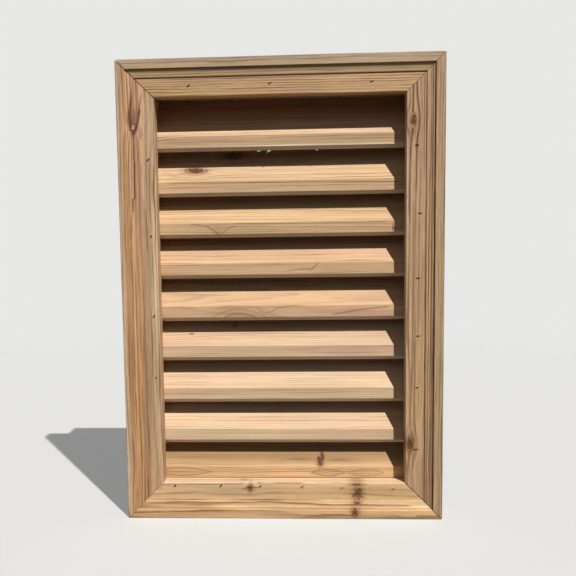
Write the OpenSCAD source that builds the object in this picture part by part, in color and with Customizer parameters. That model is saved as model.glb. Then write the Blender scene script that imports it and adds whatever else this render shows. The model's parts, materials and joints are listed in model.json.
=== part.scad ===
// Rectangular louvred gable vent in cedar. A box of boards carries nine sloping louvres,
// a mitred brick mould covers its front edge, and wire cloth closes its back.
// X runs across, Z runs up, and the front looks along -Y. The plane Y = 0 is the wall face:
// the mould stands in front of it as a flange, and the box goes through the wall behind it.
// The origin is the middle of the bottom mould's back, where it bears on the wall.

/* [Overall] */
// Width over the mould
overall_w = 441; // [300:1:700]
// Height over the mould
overall_h = 635; // [570:1:760]

/* [Brick mould] */
// Width of the mould's face
mould_w = 50.8; // [46:0.1:60]
// Thickness of the outer lip
lip_t = 31.75; // [28:0.05:40]
// Width of the outer lip
lip_w = 13; // [8:0.5:16]
// Drop from the lip to the fillet beside it
lip_step = 2.5; // [1:0.1:4]
// Width of that fillet
fillet_w = 2.6; // [1:0.1:4]
// Depth of the cove
cove_drop = 1.3; // [0.5:0.1:2]
// Width of the cove
cove_w = 4.6; // [3:0.1:6]
// Width of the band between the cove and the flat
band_w = 4.4; // [2:0.1:6]
// Drop from the band to the wide flat
flat_step = 1.35; // [0.5:0.05:2]
// Ease on the mould's long edges
mould_ease = 0.8; // [0.2:0.1:1.5]
// Depth of the rebate in the mould's back that the box is let into
rebate_d = 3; // [1:0.5:8]
// How far the mould laps over the box's clear opening
mould_lap = 4; // [0:0.5:5]

/* [Box] */
// Thickness of the box boards
box_t = 19; // [12:0.5:24]
// Depth of the box behind the wall face
box_d = 70; // [69.5:0.5:120]

/* [Louvres] */
// Thickness of a louvre board
louver_t = 18.5; // [12:0.5:19.5]
// Width of a louvre board
louver_w = 88.9; // [76:0.1:90]
// Height of the face planed on a louvre's front edge
louver_front = 15.8; // [6:0.1:16]
// Front edge of the second louvre, below the top mould
louver_second = 111.5; // [90:0.1:125]
// How far each louvre was set above the even spacing, from the top one down
louver_high = [3.5, 0, 1, 2.5, 1, 3, 1, 0, 3]; // [0:0.5:5]

/* [Wire cloth] */
// Thickness of the cloth
cloth_t = 0.9; // [0.4:0.1:2]
// Bare margin round the cloth on the back of the box
cloth_margin = 5; // [2:0.5:9]
// Openings across the grid that stands for the cloth
cloth_across = 8; // [4:1:12]
// Openings up that grid
cloth_up = 12; // [4:1:12]
// Width of that grid's bars
cloth_bar = 6.3; // [2:0.1:8]

/* [Hidden] */

MOULD_COLOR = [0.80, 0.64, 0.45];
BOX_COLOR = [0.70, 0.52, 0.36];
LOUVER_COLOR = [0.85, 0.67, 0.47];
CLOTH_COLOR = [0.58, 0.60, 0.61];

// The clear opening inside the mould
open_w = overall_w - 2 * mould_w;
open_h = overall_h - 2 * mould_w;
// The box's clear opening, which is larger, and the box's outside
inside_w = open_w + 2 * mould_lap;
inside_h = open_h + 2 * mould_lap;
box_w = inside_w + 2 * box_t;
box_h = inside_h + 2 * box_t;
// The width of the mould's back that bears on the wall
bearing_w = mould_w - mould_lap - box_t;
// Heights of the mould's opening, from the middle of the bottom mould's bearing
bottom_z = -bearing_w / 2;
sill_z = bottom_z + mould_w;
head_z = sill_z + open_h;
middle_z = bottom_z + overall_h / 2;

// Heights of the mould's face along its profile, from the wall
fillet_t = lip_t - lip_step;
band_t = fillet_t - cove_drop;
flat_t = band_t - flat_step;
// Where the cove starts and ends across the face, and its radius
cove_start = lip_w + fillet_w;
cove_end = cove_start + cove_w;
cove_r = (cove_w * cove_w + cove_drop * cove_drop) / (2 * cove_drop);
COVE_STEPS = 6;

// The louvre's section, from the top edge of its planed face: Y goes back and Z up at 45 degrees
louver_under = louver_t / sqrt(2) - louver_front / 2;
louver_run = louver_w / sqrt(2);
louver_rise = louver_under + louver_run - louver_t / sqrt(2);
// The spacing that stands the last louvre's planed face level with the bottom mould's top
louver_last = len(louver_high);
louver_pitch = (open_h - louver_second - louver_front + louver_high[louver_last - 1])
    / (louver_last - 2);
// A cutting solid reaches this far past what it cuts
PAST = 5;

// The mould's section: the first number runs inwards over the face, the second forwards
module mould_section() {
    polygon(concat(
        [
            [0, 0],
            [0, lip_t - mould_ease], [mould_ease, lip_t],
            [lip_w - mould_ease / 2, lip_t], [lip_w, lip_t - mould_ease / 2],
            [lip_w, fillet_t]
        ],
        [
            for (i = [0 : COVE_STEPS])
                let (x = cove_w * (1 - i / COVE_STEPS))
                [cove_end - x, band_t + cove_r - sqrt(cove_r * cove_r - x * x)]
        ],
        [
            [cove_end + band_w, band_t],
            [cove_end + band_w + mould_ease / 2, flat_t],
            [mould_w - mould_ease, flat_t], [mould_w, flat_t - mould_ease],
            [mould_w, rebate_d], [bearing_w, rebate_d], [bearing_w, 0]
        ]
    ));
}

// One length of mould with both ends mitred, lying along X with its outer edge at Z = 0
module mould_length(length) {
    color(MOULD_COLOR)
    intersection() {
        rotate([180, -90, 0])
            linear_extrude(height = length, center = true) mould_section();
        rotate([90, 0, 0])
            linear_extrude(height = 2 * (lip_t + PAST), center = true)
            polygon([
                [-length / 2, 0], [length / 2, 0],
                [length / 2 - mould_w, mould_w], [mould_w - length / 2, mould_w]
            ]);
    }
}

// Moves a length of mould from the bottom of the frame to the side that the angle gives
module to_side(angle, out) {
    translate([0, 0, middle_z]) rotate([0, angle, 0]) translate([0, 0, -out]) children();
}

module trim_bottom() to_side(0, overall_h / 2) mould_length(overall_w);
module trim_top() to_side(180, overall_h / 2) mould_length(overall_w);
module trim_left() to_side(90, overall_w / 2) mould_length(overall_h);
module trim_right() to_side(-90, overall_w / 2) mould_length(overall_h);

// One board of the box, from the bottom of the mould's rebate back
module box_board(width, height) {
    color(BOX_COLOR)
    translate([-width / 2, -rebate_d, 0])
        cube([width, box_d + rebate_d, height]);
}

// The top and bottom boards lie between the sides
module box_top() translate([0, 0, head_z + mould_lap]) box_board(inside_w, box_t);
module box_bottom() translate([0, 0, bearing_w / 2]) box_board(inside_w, box_t);
module box_left() translate([-(inside_w + box_t) / 2, 0, bearing_w / 2]) box_board(box_t, box_h);
module box_right() translate([(inside_w + box_t) / 2, 0, bearing_w / 2]) box_board(box_t, box_h);

// A square-edged board at 45 degrees, with its front corner planed upright
module louver_section() {
    polygon([
        [0, 0],
        [0, -louver_front],
        [louver_under, -louver_front - louver_under],
        [louver_under + louver_run, louver_run - louver_front - louver_under],
        [louver_rise, louver_rise]
    ]);
}

// The height of a louvre's planed top edge
function louver_z(n) = head_z - louver_second - (n - 2) * louver_pitch + louver_high[n - 1];

// One louvre between the side boards. The last one is ripped flat under, to sit on the bottom
// board, and the first one's back corner is ripped to meet the top board.
module louver(n) {
    color(LOUVER_COLOR)
    intersection() {
        translate([0, 0, louver_z(n)])
            rotate([90, 0, 90])
            linear_extrude(height = inside_w, center = true) louver_section();
        translate([-inside_w / 2 - PAST, -PAST, sill_z - mould_lap])
            cube([inside_w + 2 * PAST, box_d + 2 * PAST, inside_h]);
    }
}

// Wire cloth over the back of the box, here as a plain grid that is as open as the cloth. The
// grid's outer bars lie on the back edges of the boards.
module wire_cloth() {
    cloth_w = box_w - 2 * cloth_margin;
    cloth_h = box_h - 2 * cloth_margin;
    step_x = (cloth_w - cloth_bar) / cloth_across;
    step_z = (cloth_h - cloth_bar) / cloth_up;
    color(CLOTH_COLOR)
    translate([-cloth_w / 2, box_d, bearing_w / 2 + cloth_margin])
    difference() {
        cube([cloth_w, cloth_t, cloth_h]);
        for (i = [0 : cloth_across - 1], j = [0 : cloth_up - 1])
            translate([cloth_bar + i * step_x, -PAST, cloth_bar + j * step_z])
                cube([step_x - cloth_bar, cloth_t + 2 * PAST, step_z - cloth_bar]);
    }
}

trim_top();
trim_bottom();
trim_left();
trim_right();
box_top();
box_bottom();
box_left();
box_right();
louver(1);  // louver_1
louver(2);  // louver_2
louver(3);  // louver_3
louver(4);  // louver_4
louver(5);  // louver_5
louver(6);  // louver_6
louver(7);  // louver_7
louver(8);  // louver_8
louver(9);  // louver_9
wire_cloth();
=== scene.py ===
"""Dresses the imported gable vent: a mitred cedar mould, the boards of its box, nine louvres,
the nails that hold them, and the wire cloth with its staples.

The file is laid out as an add-on. Each piece, or group of like pieces, has an operator, and main()
calls them in order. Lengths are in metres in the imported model's frame. A board's own marks are in
millimetres along and across its grain.
"""

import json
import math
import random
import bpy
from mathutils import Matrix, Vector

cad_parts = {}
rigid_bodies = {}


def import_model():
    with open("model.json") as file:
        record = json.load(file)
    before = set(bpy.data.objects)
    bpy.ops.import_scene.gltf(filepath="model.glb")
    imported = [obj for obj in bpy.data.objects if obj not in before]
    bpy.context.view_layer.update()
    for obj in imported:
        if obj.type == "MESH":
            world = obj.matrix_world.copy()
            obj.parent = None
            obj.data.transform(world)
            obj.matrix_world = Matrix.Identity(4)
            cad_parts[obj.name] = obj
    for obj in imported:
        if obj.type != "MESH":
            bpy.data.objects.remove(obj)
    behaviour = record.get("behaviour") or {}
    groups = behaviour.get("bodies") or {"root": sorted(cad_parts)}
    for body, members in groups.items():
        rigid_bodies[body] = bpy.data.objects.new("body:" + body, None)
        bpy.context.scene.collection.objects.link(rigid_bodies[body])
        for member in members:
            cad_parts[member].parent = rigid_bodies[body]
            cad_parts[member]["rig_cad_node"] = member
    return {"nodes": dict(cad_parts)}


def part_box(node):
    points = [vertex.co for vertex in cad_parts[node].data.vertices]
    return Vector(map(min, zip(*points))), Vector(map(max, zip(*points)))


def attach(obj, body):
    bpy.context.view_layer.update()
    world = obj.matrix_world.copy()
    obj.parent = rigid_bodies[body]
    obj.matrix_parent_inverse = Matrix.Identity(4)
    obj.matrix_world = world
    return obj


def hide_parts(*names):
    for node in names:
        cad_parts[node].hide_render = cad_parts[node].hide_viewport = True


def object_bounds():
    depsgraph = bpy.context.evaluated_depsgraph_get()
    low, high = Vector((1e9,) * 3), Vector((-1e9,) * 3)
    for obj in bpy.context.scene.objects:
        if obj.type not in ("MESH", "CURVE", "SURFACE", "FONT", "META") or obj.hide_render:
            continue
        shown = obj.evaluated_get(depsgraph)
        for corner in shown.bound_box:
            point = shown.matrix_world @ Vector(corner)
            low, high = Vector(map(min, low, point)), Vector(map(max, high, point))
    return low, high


bl_info = {
    "name": "Cedar Gable Vent",
    "version": (1, 0, 0),
    "blender": (4, 5, 0),
    "location": "View3D > Sidebar > Gable Vent",
    "description": "Builds the mould, boards, louvres, nails and wire cloth of a cedar gable vent",
    "category": "Mesh",
}

from collections import namedtuple
from dataclasses import dataclass

import bpy
from bpy.props import FloatProperty, FloatVectorProperty, PointerProperty
from mathutils import Euler, Vector

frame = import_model()
CAD_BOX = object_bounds()

MM = 0.001
BODY = "root"
ROOT_HALF = math.sqrt(0.5)
LOUVRE_COUNT = 9

MOULD_NODES = ("trim_top", "trim_bottom", "trim_left", "trim_right")
BOX_NODES = ("box_top", "box_bottom", "box_left", "box_right")
LOUVRE_NODES = tuple(f"louver_{number}" for number in range(1, LOUVRE_COUNT + 1))

# Corners of the frame's parts, that the new pieces are placed by
WALL_LOW, WALL_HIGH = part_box("trim_left")[0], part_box("trim_right")[1]
OPEN_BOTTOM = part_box("box_bottom")[1].z
OPEN_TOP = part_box("box_top")[0].z
BOX_LOW, BOX_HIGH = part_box("box_left")[0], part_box("box_right")[1]
CLOTH_LOW, CLOTH_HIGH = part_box("wire_cloth")
BOARD_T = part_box("box_top")[1].z - OPEN_TOP
# The mould's wide flat stands this far in front of the wall
FLAT_Y = -26.6 * MM
MOULD_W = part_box("trim_bottom")[1].z - WALL_LOW.z
# A louvre board's thickness, and how far its lowest arris is under the top of its planed front
LOUVRE_T = 18.5 * MM
LOUVRE_FOOT = 20.98 * MM

# ---------------------------------------------------------------- the user's sizes and colours


def length(name, description, default):
    return FloatProperty(name=name, description=description, default=default, min=0, unit="LENGTH",
                         precision=5)


def colour(name, description, default):
    return FloatVectorProperty(name=name, description=description, default=default, size=3,
                               min=0, max=1, subtype="COLOR")


class VentSizes(bpy.types.PropertyGroup):
    """Sizes of the small work on the vent"""

    mould_ease: length("Mould edge", "Rounding on the mould's arrises", 0.22 * MM)
    board_ease: length("Board edge", "Rounding on the arrises of boards and louvres", 0.45 * MM)
    dent_length: length("Dent length", "Length of the slot that a nail head leaves", 5.6 * MM)
    dent_width: length("Dent width", "Width of the slot that a nail head leaves", 1.8 * MM)
    dent_depth: length("Dent depth", "Depth of the slot that a nail head leaves", 4.2 * MM)
    nail_sunk: length("Nail sunk", "Depth of a nail's head below the wood", 3.4 * MM)
    nail_length: length("Nail length", "Length of a finish nail", 38 * MM)
    nail_thickness: length("Nail thickness", "Thickness of a nail's shank", 1.2 * MM)
    wire_pitch: length("Wire pitch", "Spacing of the wires in the cloth", 3.175 * MM)
    wire_thickness: length("Wire thickness", "Thickness of one wire in the cloth", 0.43 * MM)
    staple_crown: length("Staple crown", "Length of a staple's crown", 10 * MM)
    staple_width: length("Staple width", "Width of a staple's wire", 1.2 * MM)
    staple_gap: length("Staple spacing", "Spacing of the staples round the cloth", 62 * MM)
    mitre_gap: length("Mitre gap", "Width that the mitres' openings are parts of", 1.5 * MM)
    mitre_depth: length("Mitre depth", "Depth of that opening below the wide flat", 8.0 * MM)
    burr_height: length("Burr height", "Height of the wood raised round a nail's dent", 0.45 * MM)


class VentColours(bpy.types.PropertyGroup):
    """Colours of the wood and the metal"""

    yellow_wood: colour("Yellow wood", "Early wood of a yellowish board", (0.660, 0.440, 0.240))
    pink_wood: colour("Pink wood", "Early wood of a pinkish board", (0.655, 0.405, 0.255))
    cream_wood: colour("Cream wood", "Early wood of a pale board", (0.700, 0.505, 0.320))
    amber_wood: colour("Amber wood", "Early wood of a golden board", (0.630, 0.400, 0.195))
    brown_wood: colour("Brown wood", "Early wood of a brown board", (0.490, 0.275, 0.130))
    # Sapwood colour. It is also used as painted shade: the lip's shadow on the top mould's cove
    sap_wood_and_shade: colour("Sapwood", "Greyish sapwood at a board's edge", (0.470, 0.345, 0.185))
    grey_wood: colour("Grey wood", "Slightly weathered wood on the top lip", (0.480, 0.380, 0.275))
    late_wood: colour("Late wood", "Line of late wood at the end of each ring",
                      (0.260, 0.125, 0.055))
    # Also the tint of the painted shade lines in the mould's grooves
    dark_mark_and_shade_tint: colour("Knot", "How far a knot darkens the wood", (0.205, 0.110, 0.040))
    stain_wood: colour("Knot stain", "Reddish wood round a knot", (0.340, 0.160, 0.085))
    sound_knot: colour("Sound knot", "Pale middle of a sound knot", (0.560, 0.350, 0.270))
    # Pale torn fibres. It is also the colour of painted highlights on arrises of the mould and the top
    # louvre
    torn_wood_and_highlight: colour("Torn wood", "Pale fibres where the wood is torn", (0.900, 0.740, 0.550))
    dull_wood: colour("Dull wood", "Early wood of the lowest louvre's top", (0.285, 0.168, 0.072))
    dark_wood: colour("Dark wood", "Wood between the lines over a knot", (0.160, 0.080, 0.040))
    # Rough-sawn wood, made pale and grey as painted light for the light from below
    sawn_wood_and_light: colour("Sawn wood", "Rough edge of a louvre", (0.840, 0.680, 0.510))
    zinc: colour("Zinc", "Galvanised wire", (0.43, 0.44, 0.44))
    steel: colour("Steel", "Staples", (0.36, 0.35, 0.34))
    # Near black: real nail heads, darkened as painted shade for the dents they sit in
    nail: colour("Nail", "Darkened finish nails", (0.030, 0.020, 0.015))
    floor: colour("Floor", "Studio floor", (0.74, 0.74, 0.73))
    backdrop: colour("Backdrop", "Studio background", (0.80, 0.80, 0.79))


def sizes():
    return bpy.context.scene.vent_sizes


def colours():
    return bpy.context.scene.vent_colours


# ---------------------------------------------------------------- shader expressions


class Value:
    """An output socket. Arithmetic on it adds Math nodes to its tree."""

    def __init__(self, tree, socket):
        self.tree = tree
        self.socket = socket

    def node(self, kind, settings, inputs, output=0):
        """Adds a node: its settings first, then the numbers, colours or links of its inputs."""
        made = self.tree.nodes.new(kind)
        for name, setting in settings.items():
            setattr(made, name, setting)
        for name, given in inputs.items():
            if isinstance(given, Value):
                self.tree.links.new(given.socket, made.inputs[name])
            else:
                made.inputs[name].default_value = given
        return Value(self.tree, made.outputs[output])

    def out(self, name):
        """Another output of the same node."""
        return Value(self.tree, self.socket.node.outputs[name])

    def math(self, operation, *values):
        return self.node("ShaderNodeMath", {"operation": operation}, dict(enumerate(values)))

    def __add__(self, other):
        return self.math("ADD", self, other)

    __radd__ = __add__

    def __sub__(self, other):
        return self.math("SUBTRACT", self, other)

    def __rsub__(self, other):
        return self.math("SUBTRACT", other, self)

    def __mul__(self, other):
        return self.math("MULTIPLY", self, other)

    __rmul__ = __mul__

    def __neg__(self):
        return self.math("MULTIPLY", self, -1.0)

    def __abs__(self):
        return self.math("ABSOLUTE", self)

    def square(self):
        return self.math("MULTIPLY", self, self)

    def least(self, other):
        return self.math("MINIMUM", self, other)

    def most(self, other):
        return self.math("MAXIMUM", self, other)

    def ramp(self, low, high, start=0.0, end=1.0):
        """A smooth step between two heights."""
        return self.node("ShaderNodeMapRange", {"interpolation_type": "SMOOTHSTEP"},
                         {0: self, 1: low, 2: high, 3: start, 4: end})

    def vector(self, operation, *values, output=0):
        return self.node("ShaderNodeVectorMath", {"operation": operation},
                         dict(enumerate(values)), output)

    def dot(self, direction):
        return self.vector("DOT_PRODUCT", self, tuple(direction), output=1)

    def noise(self, stretch, seed, detail=2.0, roughness=0.5):
        """Cloudy noise about 0 to 1, whose features are this long in each direction."""
        turned = self.node("ShaderNodeMapping", {"vector_type": "POINT"},
                           {"Vector": self, "Location": (seed * 3.7, seed * 5.3, seed * 7.9),
                            "Scale": tuple(1 / size for size in stretch)})
        return turned.node("ShaderNodeTexNoise", {},
                           {"Vector": turned, "Scale": 1.0, "Detail": detail,
                            "Roughness": roughness})

    def mix(self, first, second, blend="MIX"):
        """Mixes two colours, with this value as the factor."""
        def four(given):
            return given if isinstance(given, Value) else (*given, 1.0)
        return self.node("ShaderNodeMix", {"data_type": "RGBA", "blend_type": blend},
                         {0: self, 6: four(first), 7: four(second)}, 2)


def new_material(name):
    """An empty material, with its shader node and the Object coordinates in millimetres."""
    material = bpy.data.materials.new(name)
    material.use_nodes = True
    tree = material.node_tree
    shader = tree.nodes["Principled BSDF"]
    coordinates = tree.nodes.new("ShaderNodeTexCoord")
    place = Value(tree, coordinates.outputs["Object"])
    place = place.vector("MULTIPLY", place, (1 / MM, 1 / MM, 1 / MM))
    return material, shader, place


def seen_itself(tree):
    """1 for a ray that shows a thing itself: from the camera, off a mirror or through glass."""
    path = Value(tree, tree.nodes.new("ShaderNodeLightPath").outputs["Is Camera Ray"])
    return path.most(path.out("Is Glossy Ray")).most(path.out("Is Transmission Ray"))


def plug(shader, **values):
    """Sets or links the shader's inputs. An underscore in a name stands for a space."""
    for name, given in values.items():
        socket = shader.inputs[name.replace("_", " ")]
        if isinstance(given, Value):
            given.tree.links.new(given.socket, socket)
        else:
            socket.default_value = given


def bump(height, depth, strength=1.0):
    return height.node("ShaderNodeBump", {},
                       {"Height": height, "Distance": depth, "Strength": strength})


# ---------------------------------------------------------------- cedar

# Marks on a board, each with its place along and across the grain.
# A knot has half sizes, pushes the rings aside, and may have a pale middle.
Knot = namedtuple("Knot", "along across long wide push dark pale", defaults=(0.0,))
# A thin dark line from one point to another, bowed to one side. It holds its strength for a part
# of its length.
# Along a groove of the mould, a streak is painted shade.
Streak = namedtuple("Streak", "along across to_along to_across bow wide dark hold",
                    defaults=(1.0,))
# A long pointed ring line, as a flat cut through a bump in the rings leaves
Lens = namedtuple("Lens", "along across long wide line dark")
# A soft patch of another wood colour, or of painted light or shade. It may keep to one depth through
# the board.
Patch = namedtuple("Patch", "along across long wide wood strength deep thick", defaults=(0, 0))
# A scatter of short dark flecks
Flecks = namedtuple("Flecks", "along across long wide size dark")


def strip(across, wide, wood, strength):
    """A patch of another wood colour along the whole board, or a line of painted light or shade."""
    return Patch(0, across, 900, wide, wood, strength)


@dataclass
class Board:
    """How a board was sawn, in mm: its grain's directions, its pith, its rings and its marks."""

    origin: tuple
    along: tuple
    across: tuple
    deep: tuple
    # Place of the pith, across the board and through it
    pith: tuple
    # Width of a ring, lean of the rings along the board, and how far they wander
    spacing: float = 3.2
    tilt: float = 0.0
    wave: float = 4.0
    # The two woods that its bands are mixed from, and the share of the second
    woods: tuple = ("yellow_wood", "pink_wood")
    pink: float = 0.5
    shade: float = 1.0
    contrast: float = 1.0
    bands: float = 0.5
    # How rough its sawn faces are left. This also darkens a louvre's underside as painted shade and
    # makes its lower face paler as painted light
    sawn_and_painted_light: float = 0.0
    seed: int = 1
    marks: tuple = ()

    def all(self, kind):
        return [mark for mark in self.marks if isinstance(mark, kind)]


def distance(along, across, mark):
    """Distance from a mark's centre, which is 1 all round its edge."""
    flat = ((along - mark.along) * (1 / mark.long)).square()
    flat = flat + ((across - mark.across) * (1 / mark.wide)).square()
    return flat.math("SQRT", flat)


def fall(away):
    """1 at no distance, falling smoothly to nothing."""
    square = -away.square()
    return square.math("EXPONENT", square)


def hill(along, across, mark):
    return fall(distance(along, across, mark))


def streak_mask(along, across, streak):
    """1 on a streak's line, fading towards its far end."""
    run = streak.to_along - streak.along
    part = (along - streak.along) * (1 / run)
    line = part * (streak.to_across - streak.across) + streak.across
    line = line + part * (1 - part) * (4 * streak.bow)
    ends = part.ramp(-0.03, 0.05) * part.ramp(streak.hold * 0.95, 1.02, 1.0, 0.0)
    return fall((across - line) * (1 / streak.wide)) * ends * streak.dark


def cedar(name, board):
    """Bare planed cedar, with rings round a pith beside the board, fibres and the board's marks."""
    material, shader, point = new_material(name)
    looks = colours()
    seed = board.seed
    point = point.vector("SUBTRACT", point, board.origin)
    along = point.dot(board.along)
    across = point.dot(board.across)
    deep = point.dot(board.deep)
    grain = along.node("ShaderNodeCombineXYZ", {}, {0: along, 1: across, 2: deep})

    # Growth rings
    wave = grain.noise((210, 42, 42), seed, 2.0) - 0.5
    ripple = grain.noise((48, 8, 8), seed + 0.31, 2.0) - 0.5
    side = (across - board.pith[0]).square() + (deep - board.pith[1]).square()
    radius = side.math("SQRT", side) + along * board.tilt
    radius = radius + wave * (board.wave * 2.0) + ripple * 1.5
    for knot in board.all(Knot):
        reach = Knot(knot.along, knot.across, knot.long * 2.4, knot.wide * 2.2, 0, 0)
        radius = radius - (across - knot.across) * hill(along, across, reach) * knot.push
    growth = radius.node("ShaderNodeTexNoise", {"noise_dimensions": "1D"},
                         {"W": radius * 0.055 + seed * 9.1, "Scale": 1.0, "Detail": 1.0})
    ring = radius * (1 / board.spacing) + (growth - 0.5) * 2.4
    number = ring.math("FLOOR", ring)
    part = ring.math("FRACT", ring)
    lot = number.node("ShaderNodeTexWhiteNoise", {"noise_dimensions": "1D"},
                      {"W": number + seed * 13.7})
    fading = grain.noise((95, 6, 6), seed + 0.63, 1.0).ramp(0.35, 0.65, 0.35, 1.2)
    late = part.ramp(0.38, 0.93) * part.ramp(0.94, 1.0, 1.0, 0.0)
    late = late * (lot * 0.85 + 0.15) * fading

    # Bands of warmer and paler wood, and fibres
    sheet = radius.node("ShaderNodeCombineXYZ", {}, {0: along, 1: radius, 2: 0.0})
    tone = sheet.noise((520, 13, 1), seed + 0.53, 2.0)
    band = sheet.noise((300, 5, 1), seed + 0.59, 2.0)
    warm = grain.noise((150, 20, 20), seed + 0.77, 1.0)
    streaky = grain.noise((70, 1.6, 1.6), seed + 0.11, 2.0, 0.6)
    dash = grain.noise((17, 1.0, 1.0), seed + 0.13, 1.0)
    fibre = grain.noise((26, 0.32, 0.32), seed + 0.17, 1.0)
    first, second = (getattr(looks, wood) for wood in board.woods)
    early = (tone * 1.8 + (board.pink - 0.9)).ramp(0.0, 1.0).mix(first, second)
    for patch in board.all(Patch):
        soft = hill(along, across + ripple * min(8, patch.wide), patch) * patch.strength
        if patch.thick:
            soft = soft * fall((deep - patch.deep) * (1 / patch.thick))
        early = soft.mix(early, getattr(looks, patch.wood))
    wood = (late * (0.70 * board.contrast)).least(0.85).mix(early, looks.late_wood)
    light = 1 + (band - 0.5) * board.bands + (warm - 0.5) * 0.22
    light = light + (streaky - 0.5) * (0.42 * board.contrast)
    light = light + (dash - 0.5) * (0.26 * board.contrast) + (fibre - 0.5) * 0.15
    light = light * board.shade

    # Ends of the fibres on a board's ends, and the rough-sawn back that some boards have. Its
    # darkening is partly painted shade between the louvres
    normal = point.node("ShaderNodeNewGeometry", {}, {}, "Normal")
    end_grain = abs(normal.dot(board.along)).ramp(0.60, 0.85)
    sawn_and_painted_light = normal.dot(board.deep).ramp(-0.90, -0.75, board.sawn_and_painted_light, 0.0)
    light = light * (1 - end_grain * 0.36) * (1 - sawn_and_painted_light)
    shaded = light.node("ShaderNodeCombineXYZ", {}, {0: light, 1: light, 2: light})
    wood = wood.vector("MULTIPLY", wood, shaded)

    # Knots have reddish wood round a dark heart that is ragged and speckled. Where dark marks
    # overlap, only the darkest counts
    mottle = grain.noise((4.6, 2.4, 2.4), seed + 0.91, 3.0, 0.65)
    speck = grain.noise((2.4, 1.7, 1.7), seed + 0.93, 1.0).ramp(0.38, 0.60, 0.45, 1.15)
    dark = late * 0.0
    hollow = late * 0.0
    for knot in board.all(Knot):
        away = distance(along, across, knot) + (mottle - 0.5) * 1.5
        halo = away.ramp(0.8, 2.4, 1.0, 0.0) * (mottle * 1.4 + 0.1)
        wood = (halo * (0.7 * knot.dark)).least(0.9).mix(wood, looks.stain_wood)
        heart = away.ramp(0.70, 1.10, 1.0, 0.0)
        dark = dark.most(heart * speck * knot.dark)
        hollow = hollow + heart * (mottle - 0.4)
    for flecks in board.all(Flecks):
        fine = grain.noise((flecks.size * 2.6, flecks.size, flecks.size), seed + 0.97, 2.0, 0.6)
        spots = hill(along, across, flecks) + (fine - 0.5) * 3.2
        dark = dark.most(spots.ramp(0.42, 0.98, 0.0, flecks.dark))
    # Streaks are grain lines, and on the mould also painted shade in its grooves
    for streak in board.all(Streak):
        dark = dark.most(streak_mask(along, across + ripple * 1.5, streak))
    wood = dark.least(0.95).mix(wood, looks.dark_mark_and_shade_tint, "MULTIPLY")
    for knot in board.all(Knot):
        if knot.pale:
            middle = distance(along, across, knot) + (mottle - 0.5) * 1.5
            wood = middle.ramp(0.45, 0.75, knot.pale, 0.0).mix(wood, looks.sound_knot)
    for lens in board.all(Lens):
        away = abs(across + ripple * 0.8 - lens.across) * (1 / lens.wide)
        away = away + ((along - lens.along) * (1 / lens.long)).square()
        edge = fall((away - 1) * (lens.wide / lens.line)) * lens.dark
        fill = away.ramp(0.85, 1.0, lens.dark * 0.3, 0.0)
        wood = edge.most(fill).mix(wood, looks.late_wood)
    # A louvre's lower face is paler and greyer: rough-sawn wood, and painted light for the light it
    # gets from below
    if board.sawn_and_painted_light:
        ripped_and_lit = normal.dot(board.across).ramp(-0.95, -0.85, board.sawn_and_painted_light * 1.5, 0.0)
        wood = ripped_and_lit.mix(wood, looks.sawn_wood_and_light)

    height = fibre * 0.45 + streaky * 0.35 + dash * 0.2 - late * 0.45 - hollow * 1.4
    kerf = along * (2 * math.pi / 3.4) + ripple * 9
    height = height + kerf.math("SINE", kerf) * sawn_and_painted_light * 1.5
    roughness = 0.60 + (fibre - 0.5) * 0.16 - late * 0.10
    plug(shader, Base_Color=wood, Roughness=roughness, Specular_IOR_Level=0.25,
         Normal=bump(height, 0.16 * MM, 0.8))
    return material


# Directions of the grain: along a piece, then across its face, then through it
LEVEL_MOULD = ((1, 0, 0), (0, 0, 1), (0, 1, 0))
UPRIGHT_MOULD = ((0, 0, 1), (1, 0, 0), (0, 1, 0))
LEVEL_BOARD = ((1, 0, 0), (0, 1, 0), (0, 0, 1))
UPRIGHT_BOARD = ((0, 0, 1), (0, 1, 0), (1, 0, 0))
LOUVRE = ((1, 0, 0), (0, ROOT_HALF, ROOT_HALF), (0, -ROOT_HALF, ROOT_HALF))
ORIGIN = (0, 0, 0)


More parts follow.
